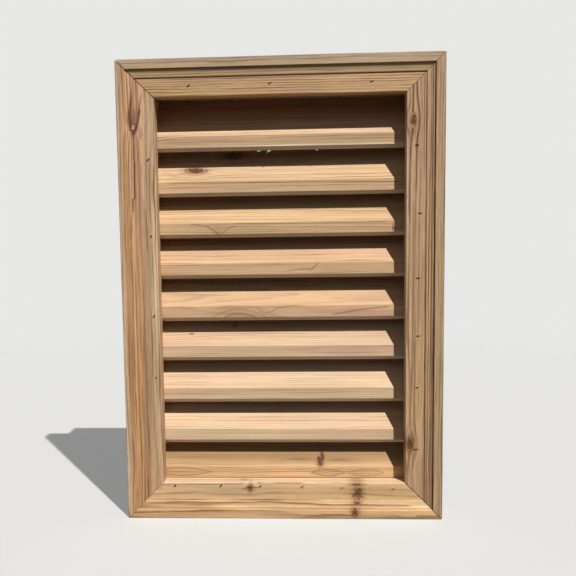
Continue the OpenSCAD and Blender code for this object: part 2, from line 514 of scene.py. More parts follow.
def mould_boards():
    return {
        "trim_top": Board(
            ORIGIN, *LEVEL_MOULD, pith=(500, 60), spacing=3.0, wave=3.0,
            woods=("amber_wood", "pink_wood"), pink=0.35, shade=0.95, contrast=1.9, seed=3, marks=(
                # The strip at 603 mm is painted shade: the lip's shadow on the cove, drawn as greyer,
                # darker wood
                strip(603, 6.5, "sap_wood_and_shade", 0.85), strip(617, 7, "grey_wood", 0.9),
                Patch(-110, 590, 40, 12, "sap_wood_and_shade", 0.5),
                Streak(-215, 590, 60, 589, 1, 0.7, 0.35),
                # A painted shade line in the step below the cove
                Streak(-230, 596.9, 230, 596.9, 0, 1.0, 0.75))),
        "trim_bottom": Board(
            ORIGIN, *LEVEL_MOULD, pith=(-30, 90), spacing=3.6, wave=3.5,
            woods=("amber_wood", "yellow_wood"), pink=0.45, shade=1.13, contrast=1.4, seed=5, marks=(
                strip(37, 3.2, "torn_wood_and_highlight", 0.42), Patch(-80, 24, 22, 6, "sap_wood_and_shade", 0.6),
                # The pale strip at 7.4 mm is a painted highlight on the small step between the band
                # and the wide flat
                strip(7.4, 2.0, "torn_wood_and_highlight", 0.45), strip(-4.5, 2.5, "brown_wood", 0.1),
                Patch(-76, 37, 9, 5, "cream_wood", 1.0), Patch(-38.5, 32.5, 4, 1.6, "cream_wood", 0.9),
                Patch(-56.8, 36.9, 6, 30, "dark_wood", 0.6, -12, 5.5),
                Knot(-46.8, 29.8, 3.8, 3.0, 0.7, 1.0), Knot(-46, 35.6, 2.2, 0.9, 0, 0.7),
                Flecks(-47, 26.5, 6, 7, 0.9, 0.8), Streak(-49, 29.3, -62, 26.4, 0, 1.1, 0.75, 0.3),
                Streak(-43, 31, -31, 32.5, -2.4, 0.8, 0.9),
                Patch(102, 14, 9, 32, "brown_wood", 0.8), Knot(102.5, 34.6, 8.5, 1.8, 0.2, 0.8),
                Patch(104.5, 22, 9, 9, "dark_wood", 0.5), Patch(102.8, 8.4, 5, 2.5, "dark_wood", 0.4),
                Patch(99.5, -4.5, 6, 6, "dark_wood", 0.45), Patch(102.5, 34, 9, 2.6, "dark_wood", 0.4),
                Flecks(104.5, 22, 10.5, 10, 0.9, 1.0), Flecks(102.8, 8.4, 6, 3, 0.8, 1.0),
                Flecks(99.5, -4.5, 7.5, 7.5, 0.9, 1.0))),
        "trim_left": Board(
            ORIGIN, *UPRIGHT_MOULD, pith=(-130, 70), wave=5.0,
            woods=("brown_wood", "pink_wood"), pink=0.35, shade=0.97, contrast=2.2, bands=1.2,
            seed=7, marks=(
                Patch(330, -179, 330, 6.5, "sap_wood_and_shade", 0.75),
                Patch(360, -173, 330, 6, "cream_wood", 0.95),
                # A painted highlight along the outer edge, where the lip's rounding catches the light
                Patch(300, -218.5, 900, 3.0, "cream_wood", 0.95),
                Patch(545, -197.5, 15, 5.5, "stain_wood", 1.0),
                Patch(539, -199, 8, 4, "dark_wood", 0.6), Knot(524.8, -198.2, 3.6, 2.6, 0, 1.0),
                Knot(531.5, -198.3, 6.0, 3.6, 0.8, 0.95, 0.95),
                Streak(537, -198.5, 525, -198.4, 0, 0.6, 0.9),
                Streak(526, -200.6, 557, -201.9, -1.5, 2.3, 1.0, 0.9),
                Streak(550, -202.2, 591, -197.0, -0.3, 1.8, 0.95, 0.3),
                Streak(526, -195.4, 557, -189.0, 0.5, 1.8, 1.0, 0.95),
                Streak(553, -189.9, 584, -184.6, -0.2, 1.0, 0.85, 0.4),
                Streak(528, -198.2, 484, -199.0, 0, 1.5, 0.75, 0.9),
                Streak(487, -198.3, 434, -199.3, 0, 1.2, 1.0),
                Streak(437, -201.2, 413, -202.6, 0, 1.2, 0.85, 0.7),
                Streak(416, -203.6, 372, -205.6, 0, 1.0, 0.6, 0.5),
                Flecks(522, -188.5, 11, 4.5, 0.6, 0.4))),
        "trim_right": Board(
            ORIGIN, *UPRIGHT_MOULD, pith=(80, 80), spacing=3.0, pink=0.6, shade=0.83,
            contrast=2.1, bands=0.8, seed=10, marks=(
                Patch(180, 186, 150, 14, "yellow_wood", 0.8),
                Patch(210, 183, 120, 14, "brown_wood", 0.32),
                # Pale torn fibres along the inner arris, partly a painted highlight where the arris
                # catches the light
                Patch(400, 169.9, 230, 1.0, "torn_wood_and_highlight", 0.9),
                Patch(430.6, 170.4, 7, 1.6, "torn_wood_and_highlight", 1.0),
                Patch(519, 178.5, 8, 3, "stain_wood", 0.8), Patch(40, 196, 130, 30, "brown_wood", 0.3),
                Patch(330, 214.5, 900, 6, "sap_wood_and_shade", 0.8),
                # These three straight lines are painted shade: in the cove, in the lip's fillet and in
                # the step below the cove
                Streak(630, 204, -20, 204, 0, 2.2, 0.35),
                Streak(630, 206.9, -20, 206.9, 0, 1.4, 0.75),
                Streak(630, 196.3, -20, 196.3, 0, 0.8, 0.65),
                Knot(533.5, 178.2, 7.0, 4.6, 0.9, 1.0), Streak(543, 179.3, 524, 179.6, 2.2, 0.8, 0.9),
                Streak(540, 178.4, 528, 178.6, 1.1, 0.6, 0.8),
                Streak(542, 177.7, 590, 178.7, 0, 1.2, 0.9, 0.8),
                Streak(594, 182.0, 554, 185.0, -0.4, 1.0, 0.8),
                Streak(556, 184.9, 510, 183.7, 2.3, 1.1, 0.9),
                Streak(512, 183.7, 428, 182.2, -0.3, 0.9, 0.8, 0.8),
                Streak(430, 182.2, 374, 180.5, 0, 0.8, 0.55, 0.5),
                Streak(523, 177.5, 500, 176.0, 0, 1.3, 0.8, 0.8),
                Streak(503, 176.0, 477, 173.4, 0, 1.0, 0.6, 0.4),
                Streak(590, 193.4, 440, 192.6, 0, 0.8, 0.65, 0.8),
                Streak(590, 203.6, 430, 204.7, 0, 0.9, 0.6, 0.9),
                Streak(470, 199.5, 250, 199.8, 0, 0.8, 0.5, 0.7),
                Streak(430, 179.0, 140, 177.5, 0.5, 0.9, 0.55, 0.9),
                Streak(400, 186.8, 220, 186.0, 0, 0.8, 0.5, 0.8),
                Patch(93, 176, 15, 7, "brown_wood", 0.9), Patch(92, 176.5, 11, 5, "dark_wood", 0.5),
                Knot(91, 177.0, 9, 5, 0.8, 0.6), Flecks(93.5, 175.6, 15, 6.8, 0.9, 1.0),
                Knot(84.6, 183.2, 1.3, 3.8, 0, 1.2), Streak(113, 177.0, 95, 181.6, 0.3, 0.9, 0.8),
                Streak(112, 176.0, 215, 176.3, 0.3, 0.9, 0.65, 0.7),
                Streak(84, 168.5, 72, 167.5, 0, 1.3, 0.7, 0.6),
                Streak(84, 175.5, 40, 172.5, 0, 1.3, 0.7, 0.5),
                Streak(80, 180.5, 50, 179.0, 0, 0.9, 0.6, 0.5))),
    }


def box_boards():
    return {
        "box_top": Board((0, 0, OPEN_TOP / MM), *LEVEL_BOARD, pith=(20, 70), shade=0.9, seed=11),
        "box_bottom": Board((0, 0, OPEN_BOTTOM / MM), *LEVEL_BOARD, pith=(40, -60), seed=13),
        "box_left": Board((BOX_LOW.x / MM, 0, 0), *UPRIGHT_BOARD, pith=(30, 80), shade=0.9,
                          seed=15),
        "box_right": Board((BOX_HIGH.x / MM, 0, 0), *UPRIGHT_BOARD, pith=(30, -80), shade=0.9,
                           seed=17),
    }


def louvre_board(number, **more):
    """A louvre's wood, whose marks are placed from the upper edge of its planed front."""
    low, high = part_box(f"louver_{number}")
    edge = low.z + LOUVRE_FOOT
    if number == LOUVRE_COUNT:
        # The lowest louvre is cut off below, so its edge is found from its back end
        edge = high.z - high.y + LOUVRE_T * ROOT_HALF
    return Board((0, 0, edge / MM), *LOUVRE, sawn_and_painted_light=0.6, **more)


def louvre_boards():
    pale = ("cream_wood", "pink_wood")
    return {
        "louver_1": louvre_board(1, pith=(-60, -60), shade=0.99, pink=0.6, seed=21, marks=(
            strip(15, 15, "cream_wood", 0.9), Patch(30, -5, 230, 5.5, "sap_wood_and_shade", 0.72),
            # A painted highlight along the lower arris of the front
            Patch(60, -10.8, 190, 0.9, "torn_wood_and_highlight", 1.0),
            Streak(-172, -1, -120, 1.5, 1, 0.5, 0.6, 0.3),
            Streak(-172, -4, -125, -3, 1, 0.5, 0.6, 0.3),
            Streak(-172, -7, -90, -8.5, 0.6, 0.5, 0.5, 0.4),
            Streak(-20, -2.5, 165, -2.5, 0.3, 0.5, 0.4))),
        "louver_2": louvre_board(2, pith=(-40, -80), shade=1.0, pink=0.35, seed=23, marks=(
            strip(18, 20, "cream_wood", 0.35), Patch(120, 10, 70, 26, "yellow_wood", 0.8),
            Patch(-120, 21, 12, 5, "stain_wood", 0.7), Knot(-120, 22, 10, 6, 0.5, 1.0),
            Flecks(-119, 22, 22, 6.5, 1.0, 1.0), Streak(-173, 14.9, -146, 12.9, 0.3, 0.6, 0.6),
            Streak(-166, 20, -150, 13.4, 0, 0.6, 0.5), Streak(-159, 1.4, -146, 12.6, -1, 0.6, 0.5),
            Streak(-147, 12.6, -130, 20.5, -0.6, 0.7, 0.6),
            Streak(-160, -1.5, 165, -3.5, 0.6, 0.7, 0.5),
            Knot(-67.5, 52, 14, 9, 0.4, 0.85))),
        "louver_3": louvre_board(3, pith=(-20, -60), pink=0.15, contrast=0.9, seed=25, marks=(
            Patch(-88, -6, 10, 4, "brown_wood", 0.5), Streak(-127, -1.2, -104, -3.2, 0, 0.5, 0.5),
            Streak(-106, -2.9, -94, -8.2, 0.9, 0.8, 0.6),
            Streak(-95, -7.9, -84, -11.2, -0.4, 0.8, 0.6),
            Streak(-83.5, -11, -75, -6.2, 0.2, 0.8, 0.45),
            Streak(-77, -6.5, -60, -3.2, 0.4, 0.6, 0.5, 0.6),
            Streak(-65, -1.2, 150, -1.2, -0.5, 0.6, 0.5), Streak(-160, 8, 165, 3.5, -0.5, 0.7, 0.4),
            Knot(154.2, -7.2, 0.8, 3.4, 0, 1.0))),
        "louver_4": louvre_board(4, pith=(-50, -90), shade=0.98, pink=0.45, seed=27, marks=(
            Patch(-90, -6, 90, 7, "yellow_wood", 0.8), Streak(50.5, -0.5, 40, -7.0, -0.9, 0.9, 0.6),
            Streak(42, -6.3, -10, -10.5, 1.0, 0.6, 0.6, 0.4))),
        "louver_5": louvre_board(5, pith=(20, -50), shade=0.965, pink=0.55, tilt=0.02, seed=29, marks=(
            Patch(-70, -3.5, 22, 4, "stain_wood", 0.22), Lens(-60, -16, 32, 8.5, 1.2, 0.62),
            Lens(-61, -16, 48, 12.6, 1.3, 0.36), Lens(-60, -16, 62, 16.5, 1.4, 0.2),
            Streak(-34, -2.4, -26, -6.9, -0.4, 0.9, 0.38),
            Streak(-27.5, -6.8, -8, -2.6, -1.6, 0.9, 0.38),
            Streak(-10, -2.9, 38, 0.4, 0.9, 0.8, 0.4, 0.5),
            Patch(110, -6, 60, 5, "pink_wood", 0.9), Streak(70, -9, 150, -1.5, 0.6, 0.8, 0.5))),
        "louver_6": louvre_board(
            6, pith=(-80, -60), woods=pale, shade=0.98, pink=0.3, contrast=0.75, seed=31,
            marks=(Knot(-131, 22.5, 2.6, 1.3, 0.3, 1.0), Knot(-69, 37.5, 4, 3.6, 0.3, 0.5))),
        "louver_7": louvre_board(7, pith=(-90, -50), woods=pale, pink=0.3, contrast=0.8, seed=33),
        "louver_8": louvre_board(8, pith=(-70, -50), woods=pale, shade=0.98, pink=0.3, contrast=0.7,
                                 seed=35),
        "louver_9": louvre_board(
            9, pith=(-60, -90), woods=("amber_wood", "yellow_wood"), shade=1.13, pink=0.5, seed=37,
            marks=(strip(20, 18, "dull_wood", 1.0), strip(-9.8, 2, "brown_wood", 0.35),
                   Patch(49, 14, 6, 9, "stain_wood", 0.6), Patch(22, 12.5, 24, 3, "dark_wood", 0.7),
                   Patch(80, 11.5, 24, 3.2, "dark_wood", 0.65),
                   Patch(52.5, 12, 4, 8, "dark_wood", 0.4),
                   Knot(54.9, 16.0, 3.0, 8.4, 0.4, 1.4), Knot(50.2, 11.0, 2.6, 6.2, 0.3, 1.3),
                   Knot(52.3, 4.8, 3.6, 3.4, 0.2, 1.3),
                   Lens(63, -6.1, 23.5, 3.3, 0.6, 0.8), Lens(117, -6, 25, 3.6, 0.6, 0.5),
                   Lens(-150, -5.4, 44, 3.9, 0.7, 0.7))),
    }


def metal(name, base, seed, rough, shine):
    """Dull zinc-coated steel, with cloudy spangle and a little rust."""
    material, shader, point = new_material(name)
    cloud = point.noise((6, 6, 6), seed, 3.0)
    speck = point.noise((0.8, 0.8, 0.8), seed + 0.4, 2.0)
    dark = tuple(part * 0.62 for part in base)
    tint = cloud.ramp(0.3, 0.7).mix(dark, tuple(base))
    tint = (speck.ramp(0.62, 0.78) * 0.35).mix(tint, (0.20, 0.10, 0.05))
    plug(shader, Base_Color=tint, Metallic=shine, Roughness=rough + (cloud - 0.5) * 0.25,
         Normal=bump(speck, 0.03 * MM, 0.5))
    return material


# ---------------------------------------------------------------- modelling helpers


def deselect():
    bpy.ops.object.select_all(action="DESELECT")


def select(*pieces):
    """Selects these objects only. The first is the active one."""
    deselect()
    for piece in pieces:
        piece.select_set(True)
    bpy.context.view_layer.objects.active = pieces[0]
    return pieces[0]


def enter_edit():
    bpy.ops.object.mode_set(mode="EDIT")


def leave_edit():
    bpy.ops.object.mode_set(mode="OBJECT")


def apply_modifier(piece, kind, **settings):
    select(piece)
    modifier = piece.modifiers.new(kind.lower(), kind)
    for name, setting in settings.items():
        setattr(modifier, name, setting)
    bpy.ops.object.modifier_apply(modifier=modifier.name)


def merged_copy(node, name):
    """A copy of a CAD node with its loose triangles joined into flat faces."""
    select(frame["nodes"][node])
    bpy.ops.object.duplicate()
    piece = bpy.context.active_object
    piece.name = name
    del piece["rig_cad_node"]
    enter_edit()
    bpy.ops.mesh.select_all(action="SELECT")
    bpy.ops.mesh.remove_doubles(threshold=0.005 * MM)
    bpy.ops.mesh.dissolve_limited(angle_limit=math.radians(0.5))
    bpy.ops.mesh.normals_make_consistent(inside=False)
    leave_edit()
    return piece


def settle(piece):
    """Puts an object's place, turn and size into its mesh."""
    select(piece)
    bpy.ops.object.transform_apply(location=True, rotation=True, scale=True)


def sized(x, y, z):
    """Gives the new primitive its size, and returns it."""
    piece = bpy.context.active_object
    piece.scale = (x, y, z)
    settle(piece)
    return piece


def placed(piece, place, turn):
    piece.rotation_euler = turn
    piece.location = place
    settle(piece)
    return piece


def edit_faces(piece, wanted):
    """Enters edit mode with only the faces selected that the test picks."""
    select(piece)
    enter_edit()
    bpy.ops.mesh.select_all(action="DESELECT")
    leave_edit()
    for face in piece.data.polygons:
        face.select = wanted(face)
    enter_edit()


def join(pieces, name):
    piece = select(*pieces)
    if len(pieces) > 1:
        bpy.ops.object.join()
    piece.name = name
    return piece


def copy_of(piece):
    select(piece)
    bpy.ops.object.duplicate()
    return bpy.context.active_object


def paint(piece, material):
    piece.data.materials.clear()
    piece.data.materials.append(material)


def cut(piece, tool, operation):
    """Cuts a tool's shape out of a piece, or adds it, and removes the tool."""
    apply_modifier(piece, "BOOLEAN", operation=operation, solver="EXACT", object=tool)
    bpy.data.objects.remove(tool)


def ease(piece, width, angle=28):
    """Rounds the arrises that turn by more than this many degrees."""
    apply_modifier(piece, "BEVEL", width=width, segments=2, limit_method="ANGLE",
                   angle_limit=math.radians(angle))


def shade_smooth(piece, angle):
    select(piece)
    bpy.ops.object.shade_smooth_by_angle(angle=math.radians(angle))


def smooth_planed(piece, angle):
    """Smooth shading that keeps the wide planed faces flat."""
    shade_smooth(piece, angle)
    apply_modifier(piece, "WEIGHTED_NORMAL", keep_sharp=True, weight=100)


def finish_board(piece, cutter=None):
    """Eases a board's arrises, cuts its dents and evens out its shading."""
    ease(piece, sizes().board_ease)
    if cutter is not None:
        cut(piece, cutter, "DIFFERENCE")
    smooth_planed(piece, 30)


def take_place(piece, node, material):
    """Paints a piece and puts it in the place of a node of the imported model."""
    paint(piece, material)
    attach(piece, BODY)
    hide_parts(node)


# ---------------------------------------------------------------- nails

# A nail's place on the mould in mm, the slant of its slot in degrees and the slot's size
Nail = namedtuple("Nail", "x z slant size")
MOULD_NAILS = {
    "trim_top": (Nail(-122, 585, 35, 1.1), Nail(-12, 586, 24, 1.05), Nail(123.5, 585, 14, 1.1)),
    "trim_bottom": (Nail(-154, 31.5, 52, 1.15), Nail(-89, 31.7, 45, 1.15), Nail(-33, 31.3, 50, 1.1),
                    Nail(26, 30.6, 35, 1.1), Nail(82, 29.3, 14, 1.0), Nail(153, 28.1, 8, 1.1)),
    "trim_left": (Nail(-179.4, 487.8, 48, 1.15), Nail(-178.3, 384, 60, 1.0),
                  Nail(-177.3, 273.5, 66, 1.15), Nail(-176.9, 187, 84, 0.8),
                  Nail(-174.3, 28.5, 50, 0.5)),
    "trim_right": (Nail(183.2, 500.4, 4, 1.1), Nail(187.8, 410.3, 6, 1.1), Nail(185.7, 322.8, 0, 1.1),
                   Nail(186.2, 243.5, 4, 1.0), Nail(185.2, 172, 0, 0.9)),
}


# A corner of the frame: which way it lies, the lengths that meet there, and how far the mitre
# stands open, as a part of the mitre gap
Mitre = namedtuple("Mitre", "x z nodes opening")
MITRES = (Mitre(-1, 1, ("trim_left", "trim_top"), 0.65),
          Mitre(1, 1, ("trim_right", "trim_top"), 0.32),
          Mitre(1, -1, ("trim_right", "trim_bottom"), 0.7),
          Mitre(-1, -1, ("trim_left", "trim_bottom"), 0.22))

# A chip knocked out of an edge: its place in mm, and its half sizes
Chip = namedtuple("Chip", "node place size")
CHIPS = (Chip("trim_left", (-221.0, -31.0, 385.6), (2.2, 2.4, 2.0)),
         Chip("trim_right", (169.8, -26.6, 430.6), (1.2, 1.8, 6.5)),
         Chip("trim_right", (169.6, -26.8, 410.0), (0.9, 1.4, 3.2)))
CHIP_TURN = (0.3, 0.2, 0.25)


# A torn fibre under the top louvre: its root, how far it leans along the board and drops below
# it, and its thickness, in mm
Splinter = namedtuple("Splinter", "x lean drop thick")
SPLINTERS = (Splinter(-14.0, -4.6, 3.0, 1.4), Splinter(-12.4, -2.2, 1.5, 1.1),
             Splinter(-18.5, 2.4, 1.2, 0.9), Splinter(-25.5, -3.0, 1.0, 1.1),
             Splinter(-28.0, -3.6, 1.5, 1.5), Splinter(-32.5, 3.0, 1.1, 1.2),
             Splinter(47.0, 4.0, 1.5, 1.4), Splinter(53.0, -3.0, 1.1, 1.2))


def burr_round(place, turn, size):
    """A low mound of raised fibres, that a nail's slot is cut through."""
    own = sizes()
    deselect()
    bpy.ops.mesh.primitive_cone_add(vertices=16, radius1=0.5, radius2=0.30, depth=1.0)
    burr = sized(own.dent_length * size * 1.45, own.dent_width * 2.4, 2 * own.burr_height)
    return placed(burr, place, turn)


def slot_cutter(place, turn, size):
    """A flat-ended slot across the wood's face, as deep as a set nail leaves it."""
    own = sizes()
    deselect()
    bpy.ops.mesh.primitive_cylinder_add(vertices=14, radius=0.5, depth=1.0, location=place,
                                        rotation=turn)
    return sized(own.dent_length * size, own.dent_width * (0.6 + 0.4 * size), 2 * own.dent_depth)


def nail_at(place, turn, inward, size):
    """One finish nail with a flat oblong head, set below the surface."""
    own = sizes()
    deselect()
    bpy.ops.mesh.primitive_cylinder_add(vertices=14, radius=0.5, depth=own.nail_thickness)
    nail = sized(own.dent_length * 0.94 * size, own.dent_width * 0.86, 1.0)
    edit_faces(nail, lambda face: face.normal.z < -0.9)
    bpy.ops.mesh.inset(thickness=own.dent_width * 0.12)
    bpy.ops.transform.resize(value=(0.42, 1.0, 1.0))
    bpy.ops.mesh.extrude_region_move(
        TRANSFORM_OT_translate={"value": (0, 0, -own.nail_length)})
    bpy.ops.transform.resize(value=(0.4, 0.4, 1.0))
    leave_edit()
    sunk = own.nail_sunk + own.nail_thickness / 2
    return placed(nail, Vector(place) + Vector(inward) * sunk, turn)


def standing_out(lean, slant):
    """A nail's turn: it stands out of a face that leans so, and its slot is slanted on that face."""
    slot = Euler((0, 0, math.radians(slant))).to_matrix()
    return (Euler(lean).to_matrix() @ slot).to_euler()


def mould_turn(slant):
    return standing_out((math.radians(90), 0, 0), slant)


def side_turn(side, slant):
    return standing_out((0, math.radians(90 * side), 0), slant)


# Nails through a side of the box: depths of those in its corners, and distances of those in a
# louvre from its back end, in mm. Each is off its mark by up to this much.
CORNER_NAILS = (9, 31, 54)
LOUVRE_NAILS = (14, 44)
NAIL_WOBBLE = 1.6


def side_nails(side):
    """Places of the nails through a side of the box: three in each corner, two in each louvre."""
    wobble = random.Random(4 + side)
    places = []
    x = BOX_LOW.x if side < 0 else BOX_HIGH.x
    for z in (OPEN_BOTTOM - BOARD_T / 2, OPEN_TOP + BOARD_T / 2):
        for y in CORNER_NAILS:
            places.append(Vector((x, y * MM, z)))
    for node in LOUVRE_NODES:
        low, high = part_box(node)
        # The middle of the board's thickness, at its back end
        back = Vector((x, high.y - LOUVRE_T * ROOT_HALF / 2, high.z - LOUVRE_T * ROOT_HALF / 2))
        for down in LOUVRE_NAILS:
            places.append(back - Vector((0, 1, 1)) * (down * ROOT_HALF * MM))
    nudged = []
    for place in places:
        deeper = wobble.uniform(-NAIL_WOBBLE, NAIL_WOBBLE)
        higher = wobble.uniform(-NAIL_WOBBLE, NAIL_WOBBLE)
        nudged.append((place + Vector((0, deeper, higher)) * MM, wobble.uniform(60, 115)))
    return nudged


# ---------------------------------------------------------------- operators


class BuildMould(bpy.types.Operator):
    """Builds the four mitred lengths of cedar mould, with the dents of their nails"""

    bl_idname = "vent.build_mould"
    bl_label = "Mould"

    def execute(self, context):
        boards = mould_boards()
        for node in MOULD_NODES:
            piece = merged_copy(node, node.replace("trim", "mould"))
            ease(piece, sizes().mould_ease)
            burrs = []
            cutters = self.mitre_cutters(node) + self.chip_cutters(node)
            for nail in MOULD_NAILS[node]:
                place = (nail.x * MM, FLAT_Y, nail.z * MM)
                turn = mould_turn(nail.slant)
                burrs.append(burr_round(place, turn, nail.size))
                cutters.append(slot_cutter(place, turn, nail.size))
            cut(piece, join(burrs, "burrs"), "UNION")
            cut(piece, join(cutters, "dents"), "DIFFERENCE")
            smooth_planed(piece, 24)
            take_place(piece, node, cedar(f"cedar_{piece.name}", boards[node]))
        return {"FINISHED"}

    def mitre_cutters(self, node):
        """Thin blades that open the front of a length's two mitres."""
        return [self.blade(mitre) for mitre in MITRES if node in mitre.nodes]

    def blade(self, mitre):
        own = sizes()
        corner = Vector((WALL_LOW.x if mitre.x < 0 else WALL_HIGH.x, 0,
                         WALL_LOW.z if mitre.z < 0 else WALL_HIGH.z))
        reach = MOULD_W * math.sqrt(2) + 4 * MM
        low = FLAT_Y + own.mitre_depth
        high = WALL_LOW.y - 2 * MM
        deselect()
        bpy.ops.mesh.primitive_cube_add(size=1.0)
        blade = sized(reach, low - high, own.mitre_gap * mitre.opening)
        # Its X axis runs from the outer corner to the inner one
        inward = Vector((-mitre.x, 0, -mitre.z)).normalized()
        middle = corner + inward * (MOULD_W / math.sqrt(2)) + Vector((0, (low + high) / 2, 0))
        return placed(blade, middle, (0, math.atan2(-inward.z, inward.x), 0))

    def chip_cutters(self, node):
        """Rounded cutters for the chips along a length's edges."""
        cutters = []
        for chip in CHIPS:
            if chip.node == node:
                deselect()
                bpy.ops.mesh.primitive_ico_sphere_add(
                    subdivisions=2, radius=MM, location=[part * MM for part in chip.place],
                    rotation=CHIP_TURN)
                cutters.append(sized(*chip.size))
        return cutters


class BuildBox(bpy.types.Operator):
    """Builds the four boards of the box behind the mould"""

    bl_idname = "vent.build_box"
    bl_label = "Box"

    def execute(self, context):
        boards = box_boards()
        for node in BOX_NODES:
            piece = merged_copy(node, node.replace("box", "board"))
            cutter = None
            if node in ("box_left", "box_right"):
                side = -1 if node == "box_left" else 1
                cutters = []
                for place, slant in side_nails(side):
                    cutters.append(slot_cutter(place, side_turn(side, slant), 0.8))
                cutter = join(cutters, "dents")
            finish_board(piece, cutter)
            take_place(piece, node, cedar(f"cedar_{piece.name}", boards[node]))
        return {"FINISHED"}


class BuildLouvres(bpy.types.Operator):
    """Builds the nine sloping louvres"""

    bl_idname = "vent.build_louvres"
    bl_label = "Louvres"

    def execute(self, context):
        boards = louvre_boards()
        for node in LOUVRE_NODES:
            piece = merged_copy(node, node.replace("louver", "louvre_board"))
            finish_board(piece)
            take_place(piece, node, cedar(f"cedar_{piece.name}", boards[node]))
        self.splinters(boards["louver_1"])
        return {"FINISHED"}

    def splinters(self, board):
        """Torn fibres that hang forward from the lowest arris of the top louvre, into the light."""
        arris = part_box("louver_1")[0].z
        fibres = []
        for splinter in SPLINTERS:
            start = Vector((splinter.x * MM, 5.0 * MM, arris + 0.8 * MM))
            way = Vector((splinter.lean, -0.8 * splinter.drop, -0.8 - splinter.drop)) * MM
            deselect()
            bpy.ops.mesh.primitive_cone_add(
                vertices=6, radius1=splinter.thick / 2 * MM, radius2=splinter.thick / 5 * MM,
                depth=way.length, location=start + way / 2,
                rotation=way.to_track_quat("Z", "Y").to_euler())
            fibre = bpy.context.active_object
            settle(fibre)
            fibres.append(fibre)
        piece = join(fibres, "torn_fibres")
        torn = Board(board.origin, board.along, board.across, board.deep, pith=(-60, -60),
                     woods=("torn_wood_and_highlight", "torn_wood_and_highlight"), contrast=0.3, seed=39)
        paint(piece, cedar("cedar_torn_fibres", torn))
        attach(piece, BODY)


class BuildNails(bpy.types.Operator):
    """Builds the finish nails in the mould and in the sides of the box"""

    bl_idname = "vent.build_nails"
    bl_label = "Nails"

    def execute(self, context):
        steel = metal("nail_steel_painted_shade", colours().nail, 41, 0.75, 0.1)
        nails = []
        for node in MOULD_NODES:
            for nail in MOULD_NAILS[node]:
                turn = mould_turn(nail.slant)
                nails.append(nail_at((nail.x * MM, FLAT_Y, nail.z * MM), turn, (0, 1, 0),
                                     nail.size))
        mould_nails = join(nails, "mould_nails")
        nails = []
        for side in (-1, 1):
            for place, slant in side_nails(side):
                nails.append(nail_at(place, side_turn(side, slant), (-side, 0, 0), 0.8))
        box_nails = join(nails, "box_nails")
        for piece in (mould_nails, box_nails):
            shade_smooth(piece, 35)
            paint(piece, steel)
            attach(piece, BODY)
        return {"FINISHED"}


class BuildWireCloth(bpy.types.Operator):
    """Builds the welded wire cloth on the back of the box"""

    bl_idname = "vent.build_wire_cloth"
    bl_label = "Wire cloth"

    def execute(self, context):
        own = sizes()
        radius = own.wire_thickness / 2
        across = CLOTH_HIGH.x - CLOTH_LOW.x
        up = CLOTH_HIGH.z - CLOTH_LOW.z
        # The level wires lie on the wood, and the upright ones are welded over them
        inner = CLOTH_LOW.y + radius
        outer = inner + own.wire_thickness * 0.88
        middle = (CLOTH_LOW + CLOTH_HIGH) / 2
        level = self.wires(Vector((middle.x, inner, CLOTH_LOW.z)), across, up, (0, 90, 0),
                           (0, 0, own.wire_pitch))
        upright = self.wires(Vector((CLOTH_LOW.x, outer, middle.z)), up, across, (0, 0, 0),
                             (own.wire_pitch, 0, 0))
        piece = join([level, upright], "wire_cloth_mesh")
        shade_smooth(piece, 65)
        take_place(piece, "wire_cloth",
                   metal("galvanised_wire", colours().zinc, 43, 0.42, 0.9))
        return {"FINISHED"}

    def wires(self, start, run, reach, turn, step):
        """One straight wire, repeated to fill the reach."""
        own = sizes()
        count = int(reach / own.wire_pitch)
        margin = (reach - (count - 1) * own.wire_pitch) / 2
        direction = Vector(step).normalized()
        deselect()
        bpy.ops.mesh.primitive_cylinder_add(
            vertices=6, radius=own.wire_thickness / 2, depth=run,
            location=start + direction * margin,
            rotation=[math.radians(angle) for angle in turn])
        wire = bpy.context.active_object
        settle(wire)
        apply_modifier(wire, "ARRAY", count=count, use_relative_offset=False,
                       use_constant_offset=True, constant_offset_displace=step)
        return wire


